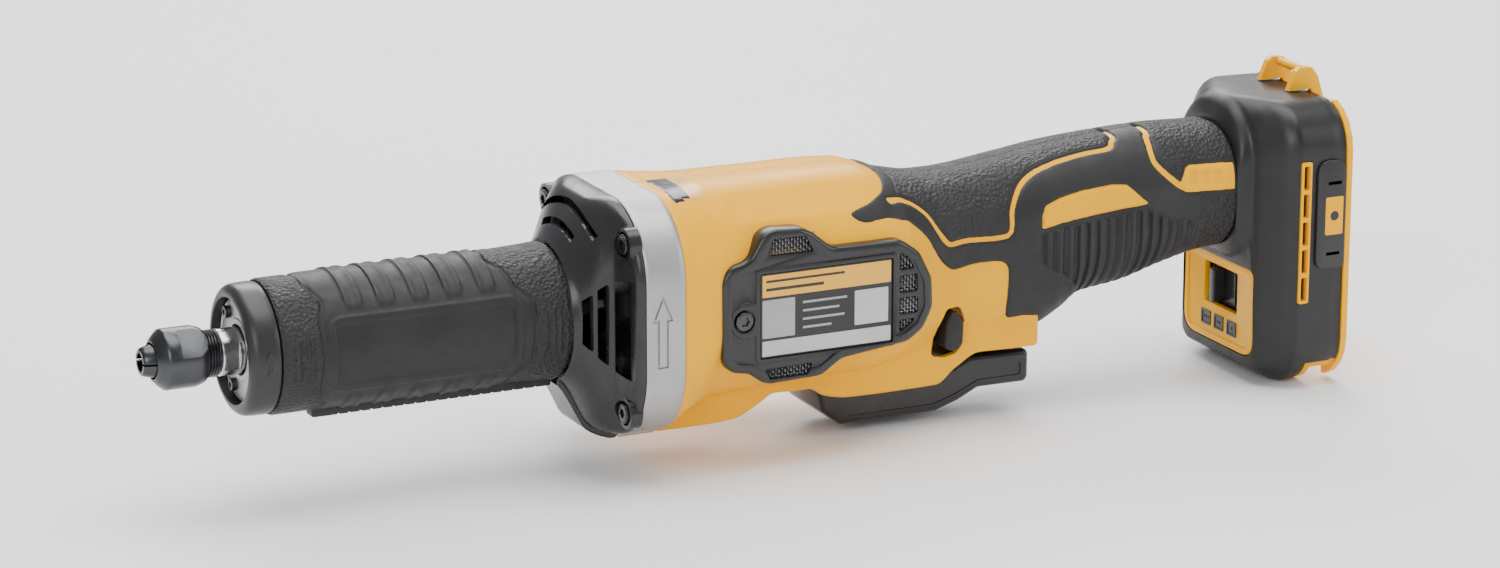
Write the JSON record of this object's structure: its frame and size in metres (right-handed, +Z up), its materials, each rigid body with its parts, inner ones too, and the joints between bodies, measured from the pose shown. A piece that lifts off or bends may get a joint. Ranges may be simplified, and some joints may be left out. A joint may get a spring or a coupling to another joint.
{
  "type": "die grinder",
  "caption": "Cordless straight die grinder with collet nose, rubber grip sleeve, fan housing, motor body, paddle switch, slim handle and battery foot.",
  "frame": {"origin": "centre of the bounding box's underside: the surface that the battery foot stands on, halfway along the tool and on its plane of symmetry", "axes": "+X along the spindle axis from the collet to the battery foot, +Z up, the tool's left side at -Y"},
  "size_m": [0.4516, 0.084, 0.114],
  "materials": {
    "yellow_plastic": "satin moulded",
    "black_plastic": "satin moulded",
    "black_rubber": "fine textured",
    "polished_steel": "ground",
    "dark_steel": "blackened",
    "cast_aluminium": "satin cast",
    "copper_wire": "enamelled",
    "brass_contact": "bright",
    "circuit_board": "solder mask",
    "label_foil": "printed foil"
  },
  "bodies": {
    "root": {"housing_left": "yellow_plastic", "housing_right": "yellow_plastic", "battery_plate": "yellow_plastic", "foot_vent_left": "yellow_plastic", "foot_vent_right": "yellow_plastic", "speed_panel": "yellow_plastic", "nose_cap": "black_plastic", "front_cover": "black_plastic", "dust_screen_left": "black_plastic", "dust_screen_right": "black_plastic", "switch_body": "black_plastic", "control_module": "black_plastic", "terminal_block": "black_plastic", "foot_housing": "black_plastic", "motor_end_cap": "black_plastic", "grip_sleeve": "black_rubber", "handle_grip_left": "black_rubber", "handle_grip_right": "black_rubber", "tag_cover": "black_rubber", "front_bearing_outer_race": "polished_steel", "rear_bearing_outer_race": "polished_steel", "motor_front_bearing": "polished_steel", "motor_rear_bearing": "polished_steel", "bearing_retainer": "polished_steel", "paddle_pin": "polished_steel", "lanyard_bar": "polished_steel", "cover_screw_1": "dark_steel", "cover_screw_2": "dark_steel", "cover_screw_3": "dark_steel", "cover_screw_4": "dark_steel", "retainer_screw_1": "dark_steel", "retainer_screw_2": "dark_steel", "retainer_screw_3": "dark_steel", "stator_core": "dark_steel", "screen_screw_left": "dark_steel", "screen_screw_right": "dark_steel", "bearing_plate": "cast_aluminium", "nose_tube": "cast_aluminium", "front_winding": "copper_wire", "rear_winding": "copper_wire", "contact_blade_1": "brass_contact", "contact_blade_2": "brass_contact", "sensor_board": "circuit_board", "speed_board": "circuit_board", "label_plate_left": "label_foil", "label_plate_right": "label_foil"},
    "spindle": {"spindle": "polished_steel", "front_bearing_inner_race": "polished_steel", "rear_bearing_inner_race": "polished_steel", "cooling_fan": "black_plastic", "rotor_shaft": "polished_steel", "drive_coupling": "polished_steel", "rotor_core": "dark_steel"},
    "collet": {"collet": "dark_steel"},
    "collet_nut": {"collet_nut": "dark_steel"},
    "paddle": {"paddle_lever": "black_plastic"},
    "switch_plunger": {"switch_plunger": "black_plastic"},
    "lock_off_button": {"lock_off_button": "black_plastic"},
    "speed_slider": {"speed_slider": "black_plastic"}
  },
  "joints": [
    {"name": "spindle_spin", "type": "hinge", "parent": "root", "child": "spindle", "pos_m": [-0.1838, 0, 0.056], "axis": [1, 0, 0], "continuous": true},
    {"name": "collet_slide", "type": "slide", "parent": "spindle", "child": "collet", "axis": [-1, 0, 0], "range_m": [0, 0.0015]},
    {"name": "nut_turn", "type": "hinge", "parent": "collet", "child": "collet_nut", "pos_m": [-0.2138, 0, 0.056], "axis": [-1, 0, 0], "range_deg": [0, 540]},
    {"name": "paddle_press", "type": "hinge", "parent": "root", "child": "paddle", "pos_m": [0.0232, 0, 0.0185], "axis": [0, -1, 0], "range_deg": [0, 5], "stiffness_Nm_per_rad": 3, "springref_deg": -11.46},
    {"name": "plunger_travel", "type": "slide", "parent": "root", "child": "switch_plunger", "axis": [0, 0, 1], "range_m": [0, 0.0056]},
    {"name": "lock_off_push", "type": "slide", "parent": "root", "child": "lock_off_button", "axis": [0, 1, 0], "range_m": [0, 0.003], "stiffness_N_per_m": 800, "springref_m": -0.004},
    {"name": "speed_select", "type": "slide", "parent": "root", "child": "speed_slider", "axis": [0, 1, 0], "range_m": [-0.01, 0]}
  ],
  "couplings": [
    {"joint": "collet_slide", "follows": "nut_turn", "m_per_rad": 0.00015915},
    {"joint": "plunger_travel", "follows": "paddle_press", "m_per_rad": 0.0625}
  ]
}
